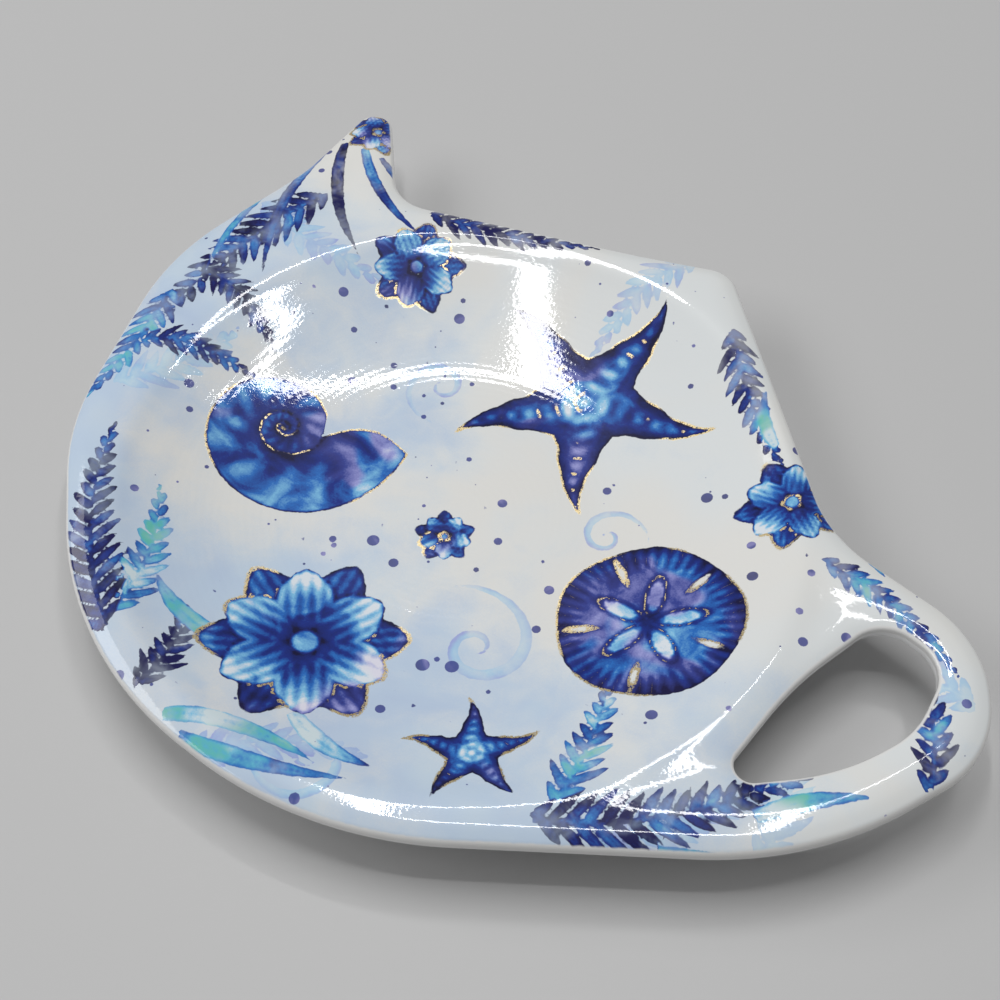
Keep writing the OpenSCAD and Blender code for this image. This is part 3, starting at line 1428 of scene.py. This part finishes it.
class Painter:
    """Lays out the shader nodes of one finish."""

    def __init__(self, name: str) -> None:
        """Starts a material.

        Args:
            name: Name of the material.
        """
        self.material = bpy.data.materials.new(name)
        self.material.use_nodes = True
        self.nodes = self.material.node_tree.nodes
        self.shader = self.nodes["Principled BSDF"]

    @cached_property
    def place(self) -> Socket:
        """Place on the piece, from a node that is added when it is first asked for."""
        return self.nodes.new("ShaderNodeTexCoord").outputs["Object"]

    def feed(self, socket: Socket, value: Value | Colour) -> None:
        """Links a socket to an output, or sets it.

        Args:
            socket: The input.
            value: An output, or a number or colour that the input is set to.
        """
        if isinstance(value, Socket):
            self.material.node_tree.links.new(value, socket)
        else:
            socket.default_value = value

    def node(self, kind: str, inputs: dict) -> bpy.types.Node:
        """Adds a node.

        Args:
            kind: Blender's name of its kind, without the ShaderNode at the start.
            inputs: Names or numbers of its inputs, and what they get.

        Returns:
            The node.
        """
        node = self.nodes.new("ShaderNode" + kind)
        for name, value in inputs.items():
            self.feed(node.inputs[name], value)
        return node

    def dress(self, name: str, value: Value | Colour) -> None:
        """Feeds one of the shader's own inputs."""
        self.feed(self.shader.inputs[name], value)

    def math(self, operation: str, *values: Value) -> Socket:
        """Works out a number.

        Args:
            operation: Blender's name of the operation.
            values: What it is worked out from.

        Returns:
            The result.
        """
        node = self.node("Math", dict(enumerate(values)))
        node.operation = operation
        return node.outputs[0]

    def product(self, *values: Value) -> Socket:
        """Product of two or more values.

        Args:
            values: The factors.

        Returns:
            The result.
        """
        result = values[0]
        for value in values[1:]:
            result = self.math("MULTIPLY", result, value)
        return result

    def sum(self, *parts: tuple) -> Socket:
        """Weighted sum of values.

        Args:
            parts: Pairs of a value and its weight.

        Returns:
            The result.
        """
        total = 0.0
        for value, weight in parts:
            total = self.math("MULTIPLY_ADD", value, weight, total)
        return total

    def step(self, value: Value, low: float, high: float, top: Value = 1.0) -> Socket:
        """Rises smoothly from 0 to top as a value goes from low to high.

        Args:
            value: The value.
            low: Where the rise starts.
            high: Where it ends, which may be below low.
            top: What it rises to.

        Returns:
            The result.
        """
        node = self.node("MapRange", dict(enumerate((value, low, high, 0.0, top))))
        node.interpolation_type = "SMOOTHSTEP"
        return node.outputs[0]

    def rings(self, centre: tuple, spacing: float, waver: float, reach: float) -> Socket:
        """Rings round a point, which fade out further from it.

        Args:
            centre: The point, in metres.
            spacing: Distance from one ring to the next, in metres.
            waver: How much the rings are drawn out of shape.
            reach: Distance from the point at which they have faded out, in metres.

        Returns:
            The pattern's value, from 0 to 1.
        """
        away = self.node("VectorMath", {0: self.place, 1: centre})
        away.operation = "SUBTRACT"
        length = self.node("VectorMath", {0: away.outputs["Vector"]})
        length.operation = "LENGTH"
        inputs = {"Vector": away.outputs["Vector"], "Scale": math.pi / 10 / spacing}
        wave = self.node("TexWave", inputs | {"Distortion": waver, "Detail Scale": 0.3})
        wave.wave_type = "RINGS"
        wave.rings_direction = "Z"
        return self.product(wave.outputs["Fac"], self.step(length.outputs["Value"], reach, 0.8 * reach))

    def noise(self, grain: float, detail: float = 2.0, swirl: float = 0.0) -> Socket:
        """Cloudy pattern.

        Args:
            grain: Size of its patches, in metres.
            detail: How many finer layers it has.
            swirl: How much it is drawn out of shape.

        Returns:
            The pattern's value, from 0 to 1.
        """
        inputs = {"Vector": self.place, "Scale": 1 / grain, "Detail": detail, "Distortion": swirl}
        return self.node("TexNoise", inputs).outputs["Fac"]

    def specks(self, grain: float) -> tuple:
        """Scattered points.

        Args:
            grain: Distance from one to the next, in metres.

        Returns:
            The distance to the nearest one in metres, and its own random value.
        """
        node = self.node("TexVoronoi", {"Vector": self.place, "Scale": 1 / grain})
        chance = self.node("SeparateColor", {0: node.outputs["Color"]})
        return self.product(node.outputs["Distance"], grain), chance.outputs[0]

    def mark(self, name: str) -> Socket:
        """Value stored at the mesh's points.

        Args:
            name: Name of the mark.

        Returns:
            The value.
        """
        node = self.node("Attribute", {})
        node.attribute_name = name
        return node.outputs["Fac"]

    def along(self, heading: tuple) -> Socket:
        """Distance from the middle of the dish along a heading.

        Args:
            heading: The heading, a vector of length 1.

        Returns:
            The distance, in metres.
        """
        node = self.node("VectorMath", {0: self.place, 1: heading})
        node.operation = "DOT_PRODUCT"
        return node.outputs["Value"]

    def ramp(self, value: Value, stops: tuple) -> Socket:
        """Colour from a row of stops.

        Args:
            value: Where on the row.
            stops: Pairs of a place from 0 to 1 and a colour.

        Returns:
            The colour.
        """
        node = self.node("ValToRGB", {0: value})
        while len(node.color_ramp.elements) < len(stops):
            node.color_ramp.elements.new(1.0)
        for element, (place, colour) in zip(node.color_ramp.elements, stops):
            element.position = place
            element.color = (*colour, 1)
        return node.outputs["Color"]

    def blend(self, share: Value, under: Colour, over: Colour) -> Socket:
        """Colour between two colours.

        Args:
            share: 0 for the first colour and 1 for the second.
            under: The first colour.
            over: The second colour.

        Returns:
            The colour.
        """
        node = self.node("Mix", {})
        node.data_type = "RGBA"
        for name, value in (("Factor_Float", share), ("A_Color", under), ("B_Color", over)):
            socket = next(s for s in node.inputs if s.identifier == name)
            self.feed(socket, (*value, 1) if isinstance(value, tuple) else value)
        return next(s for s in node.outputs if s.identifier == "Result_Color")

    def bump(self, height: Value, depth: float) -> Socket:
        """Direction of a surface with a relief, whose depth is in metres."""
        return self.node("Bump", {"Distance": depth, "Height": height}).outputs["Normal"]


@dataclass(frozen=True)
class WhiteMelamine:
    """Moulded white melamine with a soft gloss, rubbed dull where it stands on the table."""

    pale: tuple = (0.84, 0.845, 0.85)
    shaded: tuple = (0.82, 0.825, 0.83)
    rubbed: tuple = (0.66, 0.65, 0.63)
    rubbed_height: float = 0.5 * MM
    rubbed_steps: tuple = (1.4, 0.7)
    shade_steps: tuple = (0.35, 0.7)
    cloud_grain: float = 14 * MM
    scratch_grain: float = 0.5 * MM
    ripple_grain: float = 1.6 * MM
    ripple: float = 0.012 * MM
    roughness: float = 0.16
    coat: float = 0.6
    coat_roughness: float = 0.08

    def make(self) -> bpy.types.Material:
        """Builds the material.

        Returns:
            The material.
        """
        p = Painter("white_melamine")
        cloud = p.noise(self.cloud_grain, 4, 0.6)
        scratch = p.noise(self.scratch_grain, 5)
        height = p.along((0, 0, 1))
        worn = p.step(p.sum((height, 1 / self.rubbed_height), (scratch, 0.9)), *self.rubbed_steps)
        colour = p.blend(p.step(cloud, *self.shade_steps), self.pale, self.shaded)
        relief = p.sum((p.noise(self.ripple_grain, 2), 1.0), (scratch, 0.12))
        p.dress("Base Color", p.blend(worn, colour, self.rubbed))
        p.dress("Roughness", p.sum((cloud, 0.12), (worn, 0.4), (1.0, self.roughness)))
        p.dress("Normal", p.bump(relief, self.ripple))
        p.dress("Coat Weight", self.coat)
        p.dress("Coat Roughness", self.coat_roughness)
        return p.material


@dataclass(frozen=True)
class PrintedGloss:
    """Watercolour figures on white under a clear, slightly rippled gloss.

    The marks of depth are in millimetres, and the grains of the patterns in metres. Each row of
    stops goes from the palest paint to the darkest. Steps are the values between which something
    sets in, and how far it goes where that isn't 1. The weights are of the parts of a tone.
    """

    warm_white: tuple = (0.82, 0.815, 0.785)
    cool_white: tuple = (0.79, 0.82, 0.825)
    edge_white: tuple = (0.83, 0.83, 0.82)
    wash_stops: tuple = ((0.0, (0.62, 0.76, 0.84)), (0.5, (0.47, 0.63, 0.84)), (1.0, (0.36, 0.50, 0.78)))
    ink_stops: tuple = (
        (0.0, (0.78, 0.84, 0.90)),
        (0.18, (0.24, 0.57, 0.84)),
        (0.4, (0.025, 0.17, 0.57)),
        (0.62, (0.010, 0.030, 0.25)),
        (1.0, (0.004, 0.004, 0.045)),
    )
    violet_stops: tuple = (
        (0.0, (0.80, 0.78, 0.90)),
        (0.25, (0.40, 0.37, 0.74)),
        (0.55, (0.045, 0.06, 0.31)),
        (1.0, (0.008, 0.006, 0.06)),
    )
    leaf_stops: tuple = (
        (0.0, (0.14, 0.56, 0.48)),
        (0.2, (0.12, 0.50, 0.68)),
        (0.45, (0.04, 0.21, 0.60)),
        (0.75, (0.014, 0.04, 0.28)),
        (1.0, (0.008, 0.008, 0.09)),
    )
    shadow_stops: tuple = (
        (0.0, (0.58, 0.79, 0.88)),
        (0.5, (0.34, 0.60, 0.86)),
        (1.0, (0.30, 0.34, 0.76)),
    )
    gold: tuple = (0.62, 0.41, 0.12)
    pale_gold: tuple = (0.90, 0.78, 0.50)
    fringe: float = 0.55
    edge_steps: tuple = (-0.06, 0.1)
    rim_steps: tuple = (0.6, 0.05)
    hue_steps: tuple = (0.52, 0.62, 0.85)
    cloud_weight: float = 1.15
    pale_weight: float = -0.64
    stroke_weight: float = -0.17
    rim_weight: float = 0.2
    fleck_weight: float = 0.16
    shadow_cover: float = 0.75
    shadow_thinning: float = -0.45
    leaf_cover: float = 1.0
    leaf_thinning: float = -0.35
    thin_steps: tuple = (0.42, 0.68)
    white_steps: tuple = (0.4, 0.6)
    wash_steps: tuple = (0.64, 0.98, 0.7)
    drop_steps: tuple = (-0.04, 0.08, 0.9)
    drop_weight: float = 1.2
    bleed_steps: tuple = (0.45, 0.8)
    waver_grain: float = 1.3 * MM
    cloud_grain: float = 6 * MM
    fleck_grain: float = 0.3 * MM
    drift_grain: float = 34 * MM
    hue_grain: float = 13 * MM
    thin_grain: float = 5 * MM
    wash_heading: tuple = (-0.45, -0.89, 0)
    wash_slope: float = 5.0
    dust_spacing: float = 5 * MM
    dust_size: float = 0.32 * MM
    glitter_grain: float = 0.16 * MM
    tuft_grain: float = 0.8 * MM
    gilt_grain: float = 11 * MM
    gilt_line: float = 0.05
    gilt_line_steps: tuple = (0.28, 0.12)
    gilt_stroke_steps: tuple = (-0.7, -0.9)
    gilt_inner_steps: tuple = (0.3, 0.5)
    gilt_stretch_steps: tuple = (0.5, 0.54)
    gilt_tuft_steps: tuple = (0.6, 0.75)
    gilt_metal: float = 0.8
    roughness: float = 0.2
    specular: float = 0.12
    coat_roughness: float = 0.05
    ripple: float = 0.014 * MM
    ripple_grain: float = 1.7 * MM
    fine_ripple_grain: float = 0.6 * MM
    well_centre: tuple = (-9 * MM, -3 * MM, 0)
    ring_spacing: float = 1.3 * MM
    ring_waver: float = 3.0
    ring_reach: float = 53 * MM

    def _layer(
        self, p: Painter, paper: Socket, noises: tuple, name: str, ramps: tuple, cover: Value = 1.0
    ) -> tuple:
        """Paints one layer of figures.

        Args:
            p: The material's painter.
            paper: Colour under the layer.
            noises: Patterns that waver its edge, cloud its tone, speckle it and choose its hue.
            name: Name of the mark that holds its depth, and start of those of its tone and strokes.
            ramps: Rows of stops, of its main and of its second hue.
            cover: How much of the paper its paint hides.

        Returns:
            The colour with the layer on it, and the wavering depth inside it.
        """
        waver, cloud, fleck, hue = noises
        depth, tone, strokes = (p.mark(name + end) for end in ("", "_tone", "_strokes"))
        depth = p.sum((waver, self.fringe), (1.0, -self.fringe / 2), (depth, 1.0))
        rim = p.step(depth, *self.rim_steps)
        pigment = p.sum(
            (tone, 1.0), (cloud, self.cloud_weight), (1.0, self.pale_weight),
            (strokes, self.stroke_weight), (rim, self.rim_weight), (fleck, self.fleck_weight),
        )
        colour = p.blend(p.step(hue, *self.hue_steps), *(p.ramp(pigment, stops) for stops in ramps))
        return p.blend(p.step(depth, *self.edge_steps, cover), paper, colour), depth

    def _specked(self, p: Painter, paper: Socket, cloud: Socket) -> Socket:
        """Paints the splashes and a fine dust of drops.

        Args:
            p: The material's painter.
            paper: Colour under them.
            cloud: Pattern that clouds their tone.

        Returns:
            The colour with the drops on it.
        """
        away, chance = p.specks(self.dust_spacing)
        dust = p.math("SUBTRACT", p.product(chance, self.dust_size), away)
        drop = p.math("MAXIMUM", p.mark("splash"), p.product(dust, 1 / MM))
        colour = p.ramp(p.sum((cloud, self.drop_weight)), self.violet_stops)
        return p.blend(p.step(drop, *self.drop_steps), paper, colour)

    def _glitter(self, p: Painter, depth: Socket, strokes: Socket) -> tuple:
        """Gold glitter along some of the figures' edges and strokes.

        Args:
            p: The material's painter.
            depth: Wavering depth inside the figures.
            strokes: The figures' strokes.

        Returns:
            Where the glitter lies, from 0 to 1, and its colour.
        """
        _, chance = p.specks(self.glitter_grain)
        off_line = p.math("ABSOLUTE", p.math("SUBTRACT", depth, self.gilt_line))
        line = p.step(off_line, *self.gilt_line_steps)
        seam = p.product(p.step(strokes, *self.gilt_stroke_steps), p.step(depth, *self.gilt_inner_steps))
        stretch = p.step(p.noise(self.gilt_grain, 1), *self.gilt_stretch_steps)
        tufts = p.sum((chance, 1.0), (p.noise(self.tuft_grain, 1), 0.8))
        mask = p.product(p.math("MAXIMUM", line, seam), stretch, p.step(tufts, *self.gilt_tuft_steps))
        return mask, p.blend(chance, self.gold, self.pale_gold)

    def _relief(self, p: Painter) -> Socket:
        """The gloss's slight ripple, with faint turned rings in the well.

        Args:
            p: The material's painter.

        Returns:
            The direction of its surface.
        """
        rings = p.rings(self.well_centre, self.ring_spacing, self.ring_waver, self.ring_reach)
        ripples = (p.noise(self.ripple_grain, 2), 0.5), (p.noise(self.fine_ripple_grain, 1), 0.5)
        return p.bump(p.sum(*ripples, (rings, 0.3)), self.ripple)

    def make(self) -> bpy.types.Material:
        """Builds the material: paper, washes, shadows, plants, splashes, figures and glitter.

        Returns:
            The material.
        """
        p = Painter("printed_gloss")
        waver, cloud = p.noise(self.waver_grain, 3), p.noise(self.cloud_grain, 5, 0.8)
        fleck, drift = p.noise(self.fleck_grain, 2), p.noise(self.drift_grain, 3, 0.6)
        hue = p.noise(self.hue_grain, 2, 0.5)
        thin = p.step(p.noise(self.thin_grain, 3, 0.4), *self.thin_steps)
        noises = (waver, cloud, fleck, hue)
        paper = p.blend(p.step(drift, *self.white_steps), self.warm_white, self.cool_white)
        lower = p.along(self.wash_heading)
        wet = p.sum((drift, 1.0), (cloud, 0.28), (fleck, 0.1), (lower, self.wash_slope))
        paper = p.blend(p.step(wet, *self.wash_steps), paper, p.ramp(hue, self.wash_stops))
        shadowy, leafy = (self.shadow_stops, self.wash_stops), (self.leaf_stops, self.ink_stops)
        for name, ramps, thinning, most in (
            ("shadow", shadowy, self.shadow_thinning, self.shadow_cover),
            ("leaf", leafy, self.leaf_thinning, self.leaf_cover),
        ):
            cover = p.sum((thin, thinning), (1.0, most))
            paper, _ = self._layer(p, paper, noises, name, ramps, cover)
        paper = self._specked(p, paper, cloud)
        paper, depth = self._layer(p, paper, noises, "ink", (self.ink_stops, self.violet_stops))
        mask, gold = self._glitter(p, depth, p.mark("ink_strokes"))
        printed = p.step(p.sum((p.mark("inset"), 1.0), (waver, 0.3)), *self.bleed_steps)
        p.dress("Base Color", p.blend(printed, self.edge_white, p.blend(mask, paper, gold)))
        p.dress("Metallic", p.product(mask, p.product(printed, self.gilt_metal)))
        p.dress("Roughness", p.sum((cloud, 0.12), (fleck, 0.1), (mask, 0.12), (1.0, self.roughness)))
        normal = self._relief(p)
        p.dress("Normal", normal)
        p.dress("Coat Normal", normal)
        p.dress("Specular IOR Level", self.specular)
        p.dress("Coat Weight", 1.0)
        p.dress("Coat Roughness", self.coat_roughness)
        return p.material


@dataclass
class Studio:
    """Camera, lamps and floor, in metres, degrees and watts.

    The lamp frame is a ring of tubes: two places, seen from above, and a width for each. Its light
    is in watts per square metre of tube.
    """

    camera_place: tuple = (0.08335, -0.10894, 0.20856)
    camera_tilt: float = 35.0
    camera_turn: float = 38.0
    lens: float = 54.0
    sensor: float = 36.0
    nearest: float = 0.01
    floor_size: float = 14.0
    floor_colour: tuple = (0.56, 0.56, 0.56, 1)
    floor_roughness: float = 0.5
    room_colour: tuple = (1, 1, 1, 1)
    room_light: float = 0.18
    soft_place: tuple = (-1.35, -0.8, 1.2)
    soft_size: tuple = (1.3, 1.6)
    soft_turn: float = 31.0
    soft_power: float = 20.0
    tube_light: float = 74.0
    tube_height: float = 1.0
    tubes: tuple = (
        ((-0.02, 0.45), (-0.40, 0.35), 0.035),
        ((-0.40, 0.35), (-0.14, -0.12), 0.055),
        ((-0.14, -0.12), (0.22, 0.12), 0.03),
        ((0.22, 0.12), (-0.02, 0.45), 0.035),
        ((-0.005, 0.46), (0.02, 0.56), 0.018),
    )

    def camera(self) -> None:
        """Places the camera as the photograph has it."""
        data = bpy.data.cameras.new("camera")
        data.lens = self.lens
        data.sensor_width = self.sensor
        data.clip_start = self.nearest
        thing = into_scene("camera", data)
        thing.location = self.camera_place
        thing.rotation_euler = (math.radians(self.camera_tilt), 0, math.radians(self.camera_turn))
        bpy.context.scene.camera = thing

    def floor(self) -> None:
        """Lays the pale floor."""
        bm = bmesh.new()
        bmesh.ops.create_grid(bm, x_segments=1, y_segments=1, size=self.floor_size / 2)
        floor = as_piece("floor", bm)
        painter = Painter("floor")
        painter.dress("Base Color", self.floor_colour)
        painter.dress("Roughness", self.floor_roughness)
        floor.data.materials.append(painter.material)

    def room(self) -> None:
        """Lights the scene evenly from all round."""
        world = bpy.data.worlds.new("room")
        world.use_nodes = True
        background = world.node_tree.nodes["Background"]
        background.inputs["Color"].default_value = self.room_colour
        background.inputs["Strength"].default_value = self.room_light
        bpy.context.scene.world = world

    def panel(self, name: str, place: tuple, size: tuple, power: float, turn: float) -> None:
        """Hangs a lamp panel that faces down.

        Args:
            name: Name of the lamp.
            place: Its middle.
            size: Its two sides.
            power: Its power.
            turn: Its turn about the vertical.
        """
        data = bpy.data.lights.new(name, "AREA")
        data.shape = "RECTANGLE"
        data.size, data.size_y = size
        data.energy = power
        thing = into_scene(name, data)
        thing.location = place
        thing.rotation_euler = (0, 0, math.radians(turn))

    def tube(self, name: str, here: tuple, there: tuple, width: float) -> None:
        """Hangs one tube of the lamp frame.

        Args:
            name: Name of the lamp.
            here: Where the tube starts, seen from above.
            there: Where it ends.
            width: Its width.
        """
        run = np.array(there) - np.array(here)
        middle = (np.array(there) + np.array(here)) / 2
        length = float(np.linalg.norm(run))
        turn = math.degrees(math.atan2(run[1], run[0]))
        power = self.tube_light * length * width
        self.panel(name, (*middle, self.tube_height), (length, width), power, turn)

    def make(self) -> None:
        """Sets up all of it."""
        self.camera()
        self.floor()
        self.room()
        self.panel("soft_lamp", self.soft_place, self.soft_size, self.soft_power, self.soft_turn)
        for k, (here, there, width) in enumerate(self.tubes):
            self.tube(f"lamp_{k}", here, there, width)
        bpy.context.scene.view_settings.view_transform = "Standard"


def main() -> None:
    """Builds the dish, its finishes and the studio."""
    logging.basicConfig(level=logging.INFO, format="%(name)s: %(message)s")
    sizes = DishSizes()
    outline = PlanLine(OUTLINE_SHARES, Side.WITHIN, sizes.length, sizes.width)
    hole = PlanLine(FINGER_HOLE_SHARES, Side.AROUND, sizes.length, sizes.width)
    surface = DishSurface(sizes, outline, hole)
    white, printed = WhiteMelamine().make(), PrintedGloss().make()
    for part, finish, slot, nodes in (
        (PrintedTop(surface), printed, "print_foil", ("print_foil", "gloss_coat")),
        (MouldedBody(surface), white, "dish_body", ("dish_body",)),
        (FootRing(sizes), white, "dish_body", ("dish_body",)),
    ):
        piece = part.make()
        piece.data.materials.append(finish)
        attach(piece, "root")
        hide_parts(*nodes)
        LOG.info("%s: %d faces", piece.name, len(piece.data.polygons))
    Studio().make()


if __name__ == "__main__":
    main()
